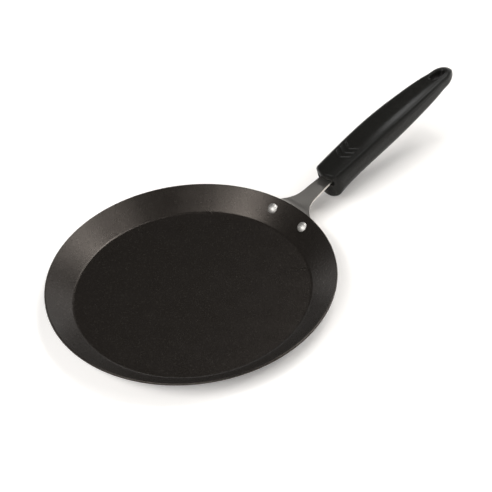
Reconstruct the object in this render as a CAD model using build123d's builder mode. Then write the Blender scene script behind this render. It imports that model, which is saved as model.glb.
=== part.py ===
from build123d import *
from math import asin, copysign, cos, degrees, pi, radians, sin, sqrt, tan
import os

os.makedirs("parts", exist_ok=True)

# Crepe pan: a pressed sheet dish, a riveted steel bracket and a moulded grip.
# Millimetres. The origin is the centre of the base, on the surface that the pan stands on.
# +Z is up and the handle runs out along +X, rising from the rim.

# Dish
rim_diameter = 240.0
pan_depth = 16.5
wall_angle = 39.0
sheet = 1.8
floor_bend_radius = 6.0
rim_edge_break = 0.4

# Rivets
rivet_margin = 6.75
rivet_drop = 10.5
rivet_shank_diameter = 5.0
rivet_head_diameter = 9.0
rivet_head_height = 2.4
rivet_head_edge = 0.5
rivet_tail_diameter = 8.0
rivet_tail_height = 1.4
rivet_tail_edge = 0.5
rivet_fit = 0.1

# Bracket: foot on the wall, bend outside the rim, shank and tang
plate = 2.0
bend_reach = 2.0
bend_radius = 12.0
handle_rise = 13.1
foot_length = 23.0
foot_width = 50.0
foot_taper = 3.0
foot_corner_radius = 6.0
foot_shoulder_radius = 3.0
flare_radius = 20.0
flare_reach = 14.5
shank_width = 15.6
shank_length = 35.0
tang_width = 12.8
tang_length = 62.0
tang_corner_radius = 3.0

# Grip: squared ovals that follow the tang, from the front end to the tip
grip_length = 168.4
grip_half_width = 14.9
grip_half_height = 12.1
squareness = 3.6
oval_points = 16
section_count = 20
station_shares = [-0.02, 0.0, 0.07, 0.17, 0.31, 0.48, 0.645, 0.79, 0.885]
half_width_shares = [0.93, 0.933, 0.945, 0.98, 1.0, 0.983, 0.892, 0.765, 0.63]
half_height_shares = [1.19, 1.17, 1.07, 0.99, 1.0, 0.99, 0.897, 0.77, 0.63]
centre_shares = [-0.42, -0.39, -0.245, -0.125, -0.065, -0.085, -0.155, -0.23, -0.295]
tip_shares = [0.4, 0.68, 0.87, 0.965]
front_radius = 20.0
front_lead = 1.0
front_edge_break = 1.3

# Mouth and pocket of the grip, which take the tang
mouth_width = 20.0
mouth_height = 6.0
mouth_below = 2.6
mouth_depth = 6.0
mouth_corner_radius = 1.5
tang_fit = 0.3

# Thumb tread: nested chevron ribs that point to the dish
tread_count = 3
tread_start = 20.5
tread_pitch = 5.6
tread_rib = 2.7
tread_sweep = 5.2
tread_half_width = 8.2
tread_height = 0.9
tread_edge_break = 0.8

# Hang slot
hang_end_wall = 9.4
hang_length = 17.0
hang_width = 6.2
hang_top_break = 1.5
hang_bottom_break = 1.0

# Screw that holds the grip on the tang, put in from below
screw_place = 38.0
screw_seat = 5.6
screw_bite = 5.0
screw_diameter = 4.0
screw_fit = 0.15
screw_head_diameter = 7.6
screw_head_height = 2.4
screw_head_edge = 1.0
counterbore_fit = 0.4
drive_length = 4.6
drive_width = 1.1
drive_depth = 1.4

overrun = 12.0

# Directions and places worked out from the sizes above
wall = radians(wall_angle)
rise = radians(handle_rise)
up_wall = Vector(cos(wall), 0, sin(wall))
off_wall = Vector(-sin(wall), 0, cos(wall))
along = Vector(cos(rise), 0, sin(rise))
above = Vector(-sin(rise), 0, cos(rise))

rim_radius = rim_diameter / 2
rim_height = sheet + pan_depth
inner_rim = Vector(rim_radius - sheet * sin(wall), 0, rim_height)
outer_rim = inner_rim - off_wall * sheet
floor_radius = inner_rim.X - pan_depth / tan(wall)
base_radius = floor_radius + sheet * tan(wall / 2)

rivet_radius = inner_rim.X - rivet_drop * cos(wall)
rivet_height = inner_rim.Z - rivet_drop * sin(wall)
rivet_azimuth = degrees(asin((foot_width / 2 - rivet_margin) / rivet_radius))
rivet_hole_radius = rivet_shank_diameter / 2 + rivet_fit
rivets = {"rivet_left": rivet_azimuth, "rivet_right": -rivet_azimuth}

bend = outer_rim + up_wall * bend_reach
foot_start = bend - up_wall * foot_length
grip_front = bend + along * shank_length


def rivet_plane(azimuth):
    """Plane on the inside of the wall, square to it, at one rivet."""
    out = Vector(cos(radians(azimuth)), sin(radians(azimuth)), 0)
    place = out * rivet_radius + Vector(0, 0, rivet_height)
    normal = Vector(0, 0, 1) * cos(wall) - out * sin(wall)
    return Plane(origin=place, x_dir=(-out.Y, out.X, 0), z_dir=normal)


def across_grip(station):
    """Plane across the grip: its x is sideways and its y is up from the tang."""
    return Plane(origin=grip_front + along * station, x_dir=(0, 1, 0), z_dir=along)


def over_tang(height):
    """Plane parallel to the tang's top face: its x runs along the grip."""
    return Plane(origin=grip_front + above * height, x_dir=along, z_dir=above)


def in_section(*places):
    """Points of a section through the handle, as its x and its height."""
    return [(place.X, place.Z) for place in places]


def height_over_tang(edge):
    return (edge.center() - grip_front).dot(above)


# Dish: one sheet with a flat floor and a straight wall, cut square at the rim
with BuildPart() as pan_body:
    with BuildSketch(Plane.XZ) as dish_section:
        with BuildLine():
            inside = FilletPolyline(
                (0, sheet), (floor_radius, sheet), *in_section(inner_rim), radius=floor_bend_radius
            )
            outside = FilletPolyline(
                (0, 0), (base_radius, 0), *in_section(outer_rim), radius=floor_bend_radius + sheet
            )
            Line(inside @ 0, outside @ 0)
            Line(inside @ 1, outside @ 1)
        make_face()
        chamfer(dish_section.vertices().sort_by(Axis.X)[-2:], rim_edge_break)
    revolve(axis=Axis.Z)
    for azimuth in rivets.values():
        with BuildSketch(rivet_plane(azimuth)):
            Circle(rivet_hole_radius)
        extrude(amount=overrun, both=True, mode=Mode.SUBTRACT)

pan_body.part.label = "pan_body"
export_step(pan_body.part, "parts/pan_body.step")

# Bracket: a plate whose foot follows the wall's cone, trimmed to its outline from above
with BuildPart() as handle_bracket:
    plate_start = foot_start - up_wall * overrun
    plate_end = grip_front + along * (tang_length + overrun)
    lower_bend = bend - (off_wall + above) * (plate / (1 + off_wall.dot(above)))
    with BuildSketch(Plane.XZ):
        with BuildLine():
            top = FilletPolyline(*in_section(plate_start, bend, plate_end), radius=bend_radius + plate)
            bottom = FilletPolyline(
                *in_section(plate_start - off_wall * plate, lower_bend, plate_end - above * plate),
                radius=bend_radius,
            )
            Line(top @ 0, bottom @ 0)
            Line(top @ 1, bottom @ 1)
        make_face()
    revolve(axis=Axis.Z)

    tang_end = grip_front + along * tang_length
    flare_start = bend.X + flare_reach
    flare_side = (foot_width - shank_width) / 2
    shoulder = flare_start - sqrt(flare_radius**2 - (flare_radius - flare_side) ** 2)
    foot_turn = asin((foot_width / 2 - foot_taper) / foot_start.X)
    with BuildSketch(Plane.XY) as plate_outline:
        with BuildLine():
            shank_side = Polyline(
                (tang_end.X, 0),
                (tang_end.X, tang_width / 2),
                (grip_front.X, tang_width / 2),
                (flare_start, shank_width / 2),
            )
            flare = TangentArc(shank_side @ 1, (shoulder, foot_width / 2), tangent=shank_side % 1)
            foot_edge = CenterArc((0, 0), foot_start.X, 0, degrees(foot_turn))
            Line(flare @ 1, foot_edge @ 1)
            mirror(about=Plane.XZ)
        make_face()
        fillet(plate_outline.vertices().sort_by(Axis.Y)[0], foot_shoulder_radius)
        fillet(plate_outline.vertices().sort_by(Axis.Y)[-1], foot_shoulder_radius)
        fillet(plate_outline.vertices().sort_by(Axis.X)[-2:], tang_corner_radius)
        fillet(plate_outline.vertices().sort_by(Axis.X)[:2], foot_corner_radius)
    extrude(amount=rim_diameter, both=True, mode=Mode.INTERSECT)

    for azimuth in rivets.values():
        with BuildSketch(rivet_plane(azimuth)):
            Circle(rivet_hole_radius)
        extrude(amount=overrun, both=True, mode=Mode.SUBTRACT)
    with BuildSketch(over_tang(0)):
        with Locations((screw_place, 0)):
            Circle(screw_diameter / 2 + screw_fit)
    extrude(amount=overrun, both=True, mode=Mode.SUBTRACT)

handle_bracket.part.label = "handle_bracket"
export_step(handle_bracket.part, "parts/handle_bracket.step")

# Rivets: a dome on the inside of the wall, and a flat tail pressed behind the foot
for name, azimuth in rivets.items():
    square = rivet_plane(azimuth)
    tail_seat = -(sheet + plate + rivet_fit)
    with BuildPart() as rivet:
        with BuildSketch(Plane(square.origin, square.x_dir, square.x_dir.cross(square.z_dir))):
            with BuildLine():
                head = TangentArc(
                    (0, rivet_fit + rivet_head_height),
                    (rivet_head_diameter / 2, rivet_fit + rivet_head_edge),
                    tangent=(1, 0),
                )
                Polyline(
                    head @ 1,
                    (rivet_head_diameter / 2, rivet_fit),
                    (rivet_shank_diameter / 2, rivet_fit),
                    (rivet_shank_diameter / 2, tail_seat),
                    (rivet_tail_diameter / 2, tail_seat),
                    (rivet_tail_diameter / 2, tail_seat - rivet_tail_height + rivet_tail_edge),
                    (rivet_tail_diameter / 2 - rivet_tail_edge, tail_seat - rivet_tail_height),
                    (0, tail_seat - rivet_tail_height),
                    head @ 0,
                )
            make_face()
        revolve(axis=Axis(square.origin, square.z_dir))
    rivet.part.label = name
    export_step(rivet.part, f"parts/{name}.step")


def squared_oval(half_width, half_height, centre):
    """Points of one section of the grip, from its +x side round."""
    points = []
    for step in range(oval_points):
        across = cos(2 * pi * step / oval_points)
        up = sin(2 * pi * step / oval_points)
        x = half_width * copysign(abs(across) ** (2 / squareness), across)
        y = half_height * copysign(abs(up) ** (2 / squareness), up)
        points.append((x, centre + y))
    return points


def guide_line(shares, size):
    """Smooth line along the grip that gives one of its sizes at each station."""
    places = [(station * grip_length, share * size) for station, share in zip(station_shares, shares)]
    return Edge.make_spline(places, parameters=station_shares)


# Sections of the grip as station, half width, half height and centre, closing in at the tip
width_line = guide_line(half_width_shares, grip_half_width)
height_line = guide_line(half_height_shares, grip_half_height)
centre_line = guide_line(centre_shares, grip_half_height)
sections = []
for step in range(section_count + 1):
    share = step / section_count
    place = width_line @ share
    sections.append((place.X, place.Y, (height_line @ share).Y, (centre_line @ share).Y))
before, last = sections[-2:]
droop = (last[3] - before[3]) / (last[0] - before[0])
for share in tip_shares:
    reach = share * (grip_length - last[0])
    shrink = sqrt(1 - share**2)
    sections.append((last[0] + reach, last[1] * shrink, last[2] * shrink, last[3] + droop * reach))

with BuildPart() as grip_form:
    for station, half_width, half_height, centre in sections:
        with BuildSketch(across_grip(station)):
            with BuildLine():
                Spline(*squared_oval(half_width, half_height, centre), periodic=True)
            make_face()
    loft()

# Thumb tread: chevrons cut out of the grip's own form, lifted by the height of a rib and given sloping flanks
with BuildPart() as tread:
    with BuildSketch(over_tang(0)):
        for count in range(tread_count):
            tip = tread_start + count * tread_pitch
            swept = tip + tread_sweep
            Polygon(
                (tip, 0),
                (swept, tread_half_width),
                (swept + tread_rib, tread_half_width),
                (tip + tread_rib, 0),
                (swept + tread_rib, -tread_half_width),
                (swept, -tread_half_width),
                align=None,
            )
    extrude(amount=2 * grip_half_height)
    add(grip_form.part.moved(Location(above * tread_height)), mode=Mode.INTERSECT)
    chamfer(tread.faces().filter_by(GeomType.BSPLINE).edges(), tread_edge_break)

# Grip: rounded front, hang slot, tread, then the mouth, pocket and screw hole
with BuildPart() as grip:
    add(grip_form.part)
    with BuildSketch(over_tang(0)):
        with Locations((front_radius - front_lead, 0)):
            Circle(front_radius)
            Rectangle(grip_length, 2 * front_radius, align=(Align.MIN, Align.CENTER))
    extrude(amount=3 * grip_half_height, both=True, mode=Mode.INTERSECT)
    chamfer(grip.faces().sort_by(Axis(grip_front, along))[0].edges(), front_edge_break)

    with BuildSketch(over_tang(0)):
        with Locations((grip_length - hang_end_wall - hang_length / 2, 0)):
            SlotOverall(hang_length, hang_width)
    extrude(amount=3 * grip_half_height, both=True, mode=Mode.SUBTRACT)
    slot_lines = grip.edges(Select.LAST).filter_by(Axis(grip_front, above), reverse=True)
    chamfer(slot_lines.filter_by(lambda edge: height_over_tang(edge) < 0), hang_bottom_break)
    chamfer(slot_lines.filter_by(lambda edge: height_over_tang(edge) > 0), hang_top_break)

    add(tread.part)
    with BuildSketch(across_grip(-overrun)):
        with Locations((0, mouth_height / 2 - mouth_below)):
            RectangleRounded(mouth_width, mouth_height, mouth_corner_radius)
    extrude(amount=overrun + mouth_depth, mode=Mode.SUBTRACT)
    with BuildSketch(across_grip(0)):
        with Locations((0, -plate / 2)):
            Rectangle(tang_width + 2 * tang_fit, plate + 2 * tang_fit)
    extrude(amount=tang_length + tang_fit, mode=Mode.SUBTRACT)

    seat = Plane(grip_front + along * screw_place - above * (plate + screw_seat), along, above)
    with BuildSketch(seat):
        Circle(screw_head_diameter / 2 + counterbore_fit)
    extrude(amount=-2 * grip_half_height, mode=Mode.SUBTRACT)
    with BuildSketch(seat):
        Circle(screw_diameter / 2 + screw_fit)
    extrude(amount=screw_seat + plate + screw_bite + screw_fit, mode=Mode.SUBTRACT)

grip.part.label = "grip"
export_step(grip.part, "parts/grip.step")

# Screw: a pan head seated in the counterbore, through the tang's hole and into the grip
with BuildPart() as grip_screw:
    with BuildSketch(Plane(seat.origin, along, along.cross(above))):
        with BuildLine():
            crown = TangentArc(
                (0, -screw_head_height), (screw_head_diameter / 2, -screw_head_edge), tangent=(1, 0)
            )
            Polyline(
                crown @ 1,
                (screw_head_diameter / 2, 0),
                (screw_diameter / 2, 0),
                (screw_diameter / 2, screw_seat + plate + screw_bite),
                (0, screw_seat + plate + screw_bite),
                crown @ 0,
            )
        make_face()
    revolve(axis=Axis(seat.origin, above))
    with BuildSketch(seat.offset(-screw_head_height)):
        Rectangle(drive_length, drive_width)
        Rectangle(drive_width, drive_length)
    extrude(amount=drive_depth, both=True, mode=Mode.SUBTRACT)

grip_screw.part.label = "grip_screw"
export_step(grip_screw.part, "parts/grip_screw.step")
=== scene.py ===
import bmesh
import bpy
from math import cos, pi, radians, sin, tan
from mathutils import Matrix, Vector


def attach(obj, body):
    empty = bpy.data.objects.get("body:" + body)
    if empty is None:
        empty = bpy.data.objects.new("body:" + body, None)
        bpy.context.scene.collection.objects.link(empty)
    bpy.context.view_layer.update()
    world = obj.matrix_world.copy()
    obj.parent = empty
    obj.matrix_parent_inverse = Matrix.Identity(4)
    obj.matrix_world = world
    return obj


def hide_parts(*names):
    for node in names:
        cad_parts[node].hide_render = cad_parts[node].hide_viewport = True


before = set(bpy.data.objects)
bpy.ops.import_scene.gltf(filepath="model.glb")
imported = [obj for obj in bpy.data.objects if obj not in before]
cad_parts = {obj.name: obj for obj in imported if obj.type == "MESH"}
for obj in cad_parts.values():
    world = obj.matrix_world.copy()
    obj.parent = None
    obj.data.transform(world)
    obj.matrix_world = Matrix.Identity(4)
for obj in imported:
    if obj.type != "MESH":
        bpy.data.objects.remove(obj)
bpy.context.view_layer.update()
print("frame loaded:", ", ".join(sorted(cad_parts)))

mm = 0.001


def newObject(name, data):
    thing = bpy.data.objects.new(name, data)
    bpy.context.scene.collection.objects.link(thing)
    return thing


def newMesh(name, mesh, material):
    data = bpy.data.meshes.new(name)
    mesh.to_mesh(data)
    mesh.free()
    data.materials.append(material)
    return data


# Camera: angles in degrees, the lens in millimetres of focal length

cameraView = {
    "aim": (68.2 * mm, 9.0 * mm, 0.0),
    "distance": 1028.4 * mm,
    "heading": -39.25,
    "elevation": 41.19,
    "roll": -4.93,
    "lens": 87.8,
    "nearest": 10 * mm,
}


def makeCamera(view):
    turn = (
        Matrix.Rotation(radians(view["heading"]), 4, "Z")
        @ Matrix.Rotation(radians(90 - view["elevation"]), 4, "X")
        @ Matrix.Rotation(radians(view["roll"]), 4, "Z")
    )
    data = bpy.data.cameras.new("studioCamera")
    data.lens = view["lens"]
    data.clip_start = view["nearest"]
    camera = newObject("studioCamera", data)
    back = turn.to_3x3() @ Vector((0, 0, 1))
    place = Vector(view["aim"]) + back * view["distance"]
    camera.matrix_world = Matrix.Translation(place) @ turn
    bpy.context.scene.camera = camera


makeCamera(cameraView)
bpy.context.scene.view_settings.view_transform = "Standard"
print("camera set")


# Shader maths: a socket that is worked on like a number

class Wire:
    def __init__(self, nodes, socket):
        self.nodes = nodes
        self.socket = socket

    def __add__(self, other):
        return self.nodes.maths("ADD", self, other)

    def __radd__(self, other):
        return self.nodes.maths("ADD", other, self)

    def __sub__(self, other):
        return self.nodes.maths("SUBTRACT", self, other)

    def __rsub__(self, other):
        return self.nodes.maths("SUBTRACT", other, self)

    def __mul__(self, other):
        return self.nodes.maths("MULTIPLY", self, other)

    def __rmul__(self, other):
        return self.nodes.maths("MULTIPLY", other, self)


class Nodes:
    def __init__(self, tree):
        self.tree = tree

    def feed(self, socket, value):
        if isinstance(value, Wire):
            self.tree.links.new(value.socket, socket)
        else:
            socket.default_value = value

    def add(self, kind, settings, values, output=0):
        node = self.tree.nodes.new(kind)
        for name, value in settings.items():
            setattr(node, name, value)
        for name, value in values.items():
            self.feed(node.inputs[name], value)
        return Wire(self, node.outputs[output])

    def maths(self, operation, first, second):
        return self.add("ShaderNodeMath", {"operation": operation}, {0: first, 1: second})

    def eased(self, value, start, end, low=0.0, high=1.0):  # low before the start, high past the end
        values = {"Value": value, "From Min": start, "From Max": end, "To Min": low, "To Max": high}
        return self.add("ShaderNodeMapRange", {"interpolation_type": "SMOOTHSTEP"}, values)


class Finish(Nodes):
    def __init__(self, name):
        self.material = bpy.data.materials.new(name)
        self.material.use_nodes = True
        super().__init__(self.material.node_tree)
        self.shader = self.tree.nodes["Principled BSDF"]

    def place(self, stretch=(1, 1, 1), centre=(0, 0, 0)):
        spot = self.add("ShaderNodeTexCoord", {}, {}, "Object")
        shift = [-middle * scale for middle, scale in zip(centre, stretch)]
        return self.add("ShaderNodeMapping", {}, {"Vector": spot, "Scale": stretch, "Location": shift})

    def noise(self, place, size, detail=3.0, harshness=0.5):
        values = {"Vector": place, "Scale": 1 / size, "Detail": detail, "Roughness": harshness}
        return self.add("ShaderNodeTexNoise", {}, values)

    def cells(self, place, size, channel):  # one random level for each cell
        values = {"Vector": place, "Scale": 1 / size}
        colour = self.add("ShaderNodeTexVoronoi", {}, values, "Color")
        return self.add("ShaderNodeSeparateColor", {}, {"Color": colour}, channel)

    def swing(self, noise, reach):  # noise made to vary about nought
        return (noise - 0.5) * reach

    def mix(self, factor, first, second):
        values = {"Factor": factor, "A": opaque(first), "B": opaque(second)}
        return self.add("ShaderNodeMix", {"data_type": "RGBA"}, values, "Result")

    def bump(self, height, depth):
        return self.add("ShaderNodeBump", {}, {"Height": height, "Distance": depth, "Strength": 1.0})

    def set(self, **values):
        for name, value in values.items():
            self.feed(self.shader.inputs[name.replace("_", " ")], value)


def opaque(colour):
    return (*colour, 1.0)


# Finishes: each look has what a user would change

nonStickLook = {
    "colour": (0.0093, 0.0077, 0.0066),
    "fleckColour": (0.029, 0.026, 0.022),
    "fleckSize": 0.7 * mm,
    "fleckFrom": 0.86,
    "fleckAmount": 0.7,
    "fineShare": 0.45,  # size of a fine fleck, as a share of a fleck
    "fineAmount": 0.3,
    "roughness": 0.29,
    "cloudSize": 18 * mm,
    "cloudSwing": 0.10,
    "fleckShine": 0.12,
    "peelSize": 1.2 * mm,
    "peelDepth": 0.04 * mm,
    "fleckRise": 0.5,
    "index": 1.5,
    "gloss": 0.47,
    "sheen": (1.0, 0.88, 0.78),
}


def nonStickFinish(look):
    finish = Finish("nonStick")
    place = finish.place()
    cell = finish.cells(place, look["fleckSize"], "Red")
    fine = finish.cells(place, look["fleckSize"] * look["fineShare"], "Green")
    large = finish.eased(cell, look["fleckFrom"], 1.0) * look["fleckAmount"]
    fleck = large + finish.eased(fine, look["fleckFrom"], 1.0) * look["fineAmount"]
    cloud = finish.swing(finish.noise(place, look["cloudSize"]), look["cloudSwing"])
    peel = finish.noise(place, look["peelSize"])
    finish.set(
        Base_Color=finish.mix(fleck, look["colour"], look["fleckColour"]),
        Roughness=look["roughness"] + cloud - fleck * look["fleckShine"],
        IOR=look["index"],
        Specular_IOR_Level=look["gloss"],
        Specular_Tint=opaque(look["sheen"]),
        Normal=finish.bump(peel + fleck * look["fleckRise"], look["peelDepth"]),
    )
    return finish.material


steelLook = {
    "colour": (0.59, 0.56, 0.52),
    "roughness": 0.36,
    "lineWidth": 0.12 * mm,
    "lineStretch": 60,  # brushed along the handle
    "lineNoise": (4.0, 0.6),  # detail and harshness
    "lineSwing": 0.16,
    "lineDepth": 0.004 * mm,
    "smudgeSize": 9 * mm,
    "smudgeSwing": 0.10,
}


def steelFinish(name, look):
    finish = Finish(name)
    brushed = finish.place((1 / look["lineStretch"], 1, 1))
    lines = finish.noise(brushed, look["lineWidth"], *look["lineNoise"])
    smudge = finish.noise(finish.place(), look["smudgeSize"])
    streaks = finish.swing(lines, look["lineSwing"])
    finish.set(
        Base_Color=opaque(look["colour"]),
        Metallic=1.0,
        Roughness=look["roughness"] + streaks + finish.swing(smudge, look["smudgeSwing"]),
        Normal=finish.bump(lines, look["lineDepth"]),
    )
    return finish.material


# The rivets and the screw share one look
fastenerLook = {
    "colour": (0.60, 0.58, 0.55),
    "roughness": 0.51,
    "markSize": 0.7 * mm,
    "markNoise": (3.0, 0.6),
    "markSwing": 0.12,
    "markDepth": 0.01 * mm,
}


def fastenerFinish(name, look):
    finish = Finish(name)
    marks = finish.noise(finish.place(), look["markSize"], *look["markNoise"])
    finish.set(
        Base_Color=opaque(look["colour"]),
        Metallic=1.0,
        Roughness=look["roughness"] + finish.swing(marks, look["markSwing"]),
        Normal=finish.bump(marks, look["markDepth"]),
    )
    return finish.material


plasticLook = {
    "colour": (0.0102, 0.0099, 0.0089),
    "roughness": 0.27,
    "grainSize": 0.32 * mm,
    "grainNoise": (4.0, 0.6),
    "grainSwing": 0.14,
    "grainDepth": 0.008 * mm,
    "handlingSize": 25 * mm,  # patches that a hand has polished
    "handlingSwing": 0.10,
    "index": 1.15,
    "gloss": 0.95,
}


def plasticFinish(look):
    finish = Finish("gripPlastic")
    place = finish.place()
    grain = finish.noise(place, look["grainSize"], *look["grainNoise"])
    handling = finish.noise(place, look["handlingSize"])
    texture = finish.swing(grain, look["grainSwing"])
    finish.set(
        Base_Color=opaque(look["colour"]),
        Roughness=look["roughness"] + texture + finish.swing(handling, look["handlingSwing"]),
        IOR=look["index"],
        Specular_IOR_Level=look["gloss"],
        Normal=finish.bump(grain, look["grainDepth"]),
    )
    return finish.material


# Pieces: the dish is made here, the others are finished copies of the CAD nodes

def finishedObject(name, mesh, material, replaced, worn=None):
    piece = newObject(name, newMesh(name, mesh, material))
    if worn:
        softer = piece.modifiers.new("wornEdges", "BEVEL")
        softer.width = worn["width"]
        softer.segments = worn["segments"]
        softer.limit_method = "ANGLE"
        softer.angle_limit = radians(worn["fromAngle"])
    flats = piece.modifiers.new("flats", "WEIGHTED_NORMAL")
    flats.keep_sharp = True
    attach(piece, "root")
    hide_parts(replaced)
    print(name, "made:", len(piece.data.polygons), "faces")


def shadeSmooth(mesh, sharpAngle):
    for face in mesh.faces:
        face.smooth = True
    for edge in mesh.edges:
        edge.smooth = edge.calc_face_angle(pi) < radians(sharpAngle)


dish = {
    "rimRadius": 120.0 * mm,
    "rimHeight": 18.3 * mm,
    "sheet": 1.8 * mm,
    "wallAngle": 39.0,
    "bendRadius": 3.6 * mm,  # on the inside of the bend
    "bendSegments": 8,
    "edgeRadius": 0.64 * mm,
    "edgeSegments": 4,
    "steps": 240,
    "sharpAngle": 60,
    "mergeWithin": 0.001 * mm,
}


# Half the section is drawn from the middle of the floor out to the rim and back
# along the base, its corners are rounded, and it is spun about the middle
def dishBody(sizes):
    wall = radians(sizes["wallAngle"])
    sheet = sizes["sheet"]
    innerRim = Vector((sizes["rimRadius"] - sheet * sin(wall), 0, sizes["rimHeight"]))
    outerRim = innerRim + Vector((sin(wall), 0, -cos(wall))) * sheet
    floorRadius = innerRim.x - (sizes["rimHeight"] - sheet) / tan(wall)
    baseRadius = floorRadius + sheet * tan(wall / 2)
    mesh = bmesh.new()
    corners = (
        (0, 0, sheet), (floorRadius, 0, sheet), innerRim,
        outerRim, (baseRadius, 0, 0), (0, 0, 0),
    )
    chain = [mesh.verts.new(corner) for corner in corners]
    for first, second in zip(chain, chain[1:]):
        mesh.edges.new((first, second))
    floorBend, innerEdge, outerEdge, baseBend = chain[1:5]
    innerReach = sizes["bendRadius"] * tan(wall / 2)
    outerReach = (sizes["bendRadius"] + sheet) * tan(wall / 2)
    rounding = (
        (floorBend, innerReach, sizes["bendSegments"]),
        (baseBend, outerReach, sizes["bendSegments"]),
        (innerEdge, sizes["edgeRadius"], sizes["edgeSegments"]),
        (outerEdge, sizes["edgeRadius"], sizes["edgeSegments"]),
    )
    for corner, reach, segments in rounding:
        bmesh.ops.bevel(
            mesh, geom=[corner], offset=reach, offset_type="OFFSET", affect="VERTICES",
            segments=segments, profile=0.5, material=-1, clamp_overlap=False,
        )
    bmesh.ops.spin(
        mesh, geom=mesh.verts[:] + mesh.edges[:], cent=(0, 0, 0), axis=(0, 0, 1),
        angle=2 * pi, steps=sizes["steps"], use_merge=True,
    )
    bmesh.ops.remove_doubles(mesh, verts=mesh.verts, dist=sizes["mergeWithin"])
    bmesh.ops.recalc_face_normals(mesh, faces=mesh.faces)
    shadeSmooth(mesh, sizes["sharpAngle"])
    return mesh


# What the copies need: angles from which an edge stays sharp, in degrees
bracket = {
    "sharpAngle": 32,
    "worn": {"width": 0.2 * mm, "segments": 2, "fromAngle": 50},
}
rivet = {"sharpAngle": 40}
gripBody = {"sharpAngle": 50}
gripScrew = {"sharpAngle": 32}
copyMerge = 0.002 * mm


def mergedCopy(node, sizes):
    mesh = bmesh.new()
    mesh.from_mesh(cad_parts[node].data)
    bmesh.ops.remove_doubles(mesh, verts=mesh.verts, dist=copyMerge)
    shadeSmooth(mesh, sizes["sharpAngle"])
    return mesh


nonStick = nonStickFinish(nonStickLook)
finishedObject("dish", dishBody(dish), nonStick, "pan_body")

bracketSteel = steelFinish("bracketSteel", steelLook)
bracketMesh = mergedCopy("handle_bracket", bracket)
finishedObject("bracket", bracketMesh, bracketSteel, "handle_bracket", bracket["worn"])

rivetMetal = fastenerFinish("rivetMetal", fastenerLook)
for side in ("left", "right"):
    node = f"rivet_{side}"
    finishedObject(f"rivet.{side}", mergedCopy(node, rivet), rivetMetal, node)

gripPlastic = plasticFinish(plasticLook)
finishedObject("gripBody", mergedCopy("grip", gripBody), gripPlastic, "grip")

screwSteel = fastenerFinish("screwSteel", fastenerLook)
screwMesh = mergedCopy("grip_screw", gripScrew)
finishedObject("gripScrew", screwMesh, screwSteel, "grip_screw")


# Studio: a pale paper floor with a painted glow that lightens the pan's shadows, a pale surround and
# soft boxes in a ring round the pan

floorLook = {
    "size": 12.0,
    "drop": 0.2 * mm,  # below the dish's base
    "colour": (0.955, 0.930, 0.900),
    "roughness": 0.9,
    "paintedGlow": 0.03,  # painted light: the floor's glow is faint at the handle's shadow and grows away from it, lightening the shadow by the rim, rising to 1 (a white backdrop) far off
    "glowCentre": (0.22, -0.01, 0),
    "glowFrom": 0.05,
    "glowTo": 1.00,
}


def studioFloor(look):
    mesh = bmesh.new()
    bmesh.ops.create_grid(mesh, x_segments=1, y_segments=1, size=look["size"] / 2)
    bmesh.ops.translate(mesh, verts=mesh.verts, vec=(0, 0, -look["drop"]))
    paper = Finish("floorPaper")
    spot = paper.place(centre=look["glowCentre"])
    radius = paper.add("ShaderNodeVectorMath", {"operation": "LENGTH"}, {0: spot}, "Value")
    paper.set(
        Base_Color=opaque(look["colour"]),
        Roughness=look["roughness"],
        Specular_IOR_Level=0.0,
        # painted light: the floor's emission is faint at the handle's shadow, lightens the pan's
        # shadow near the rim, and is white far away
        Emission_Color=paper.eased(radius, look["glowFrom"], look["glowTo"], look["paintedGlow"]),
        Emission_Strength=1.0,
    )
    floor = newObject("floor", newMesh("floor", mesh, paper.material))


# Pale walls round the horizon, which ease into a dim ceiling
surroundLook = {
    "wall": 1.0,
    "ceiling": 0.05,
    "wallTop": 0.14,
    "ceilingFrom": 0.28,
}


def surroundings(look):
    world = bpy.data.worlds.new("surroundings")
    world.use_nodes = True
    sky = Nodes(world.node_tree)
    direction = sky.add("ShaderNodeTexCoord", {}, {}, "Generated")
    height = sky.add("ShaderNodeSeparateXYZ", {}, {"Vector": direction}, "Z")
    level = sky.eased(height, look["wallTop"], look["ceilingFrom"], look["wall"], look["ceiling"])
    sky.feed(sky.tree.nodes["Background"].inputs["Color"], level)
    bpy.context.scene.world = world


# Each box faces the point that the camera aims at. Azimuth is from the handle
boxDistance = 1.4

boxes = {
    "frontBox": {"azimuth": -130, "elevation": 40, "width": 0.50, "height": 0.40, "power": 2.8},
    "cornerBox": {"azimuth": -156, "elevation": 46, "width": 0.50, "height": 0.40, "power": 5.0},
    "leftBox": {"azimuth": 170, "elevation": 47, "width": 0.60, "height": 0.50, "power": 6.9},
    "farBox": {"azimuth": 0, "elevation": 42, "width": 0.60, "height": 0.40, "power": 1.9},
    "cardBox": {"azimuth": 10, "elevation": 15, "width": 0.50, "height": 0.40, "power": 0.7},
    "topBox": {"azimuth": -2, "elevation": 62, "width": 0.82, "height": 0.30, "power": 7.9},
    "rightBox": {"azimuth": -35, "elevation": 39, "width": 0.55, "height": 0.34, "power": 4.7},
    "edgeBox": {"azimuth": -66, "elevation": 53, "width": 0.32, "height": 0.34, "power": 1.3},
}


def softBox(name, look):
    data = bpy.data.lights.new(name, "AREA")
    data.shape = "RECTANGLE"
    data.size = look["width"]
    data.size_y = look["height"]
    data.energy = look["power"]
    azimuth = radians(look["azimuth"])
    elevation = radians(look["elevation"])
    level = cos(elevation)
    direction = Vector((level * cos(azimuth), level * sin(azimuth), sin(elevation)))
    light = newObject(name, data)
    light.location = Vector(cameraView["aim"]) + direction * boxDistance
    light.rotation_euler = direction.to_track_quat("Z", "Y").to_euler()


studioFloor(floorLook)
surroundings(surroundLook)
for name, look in boxes.items():
    softBox(name, look)
print("studio lit")
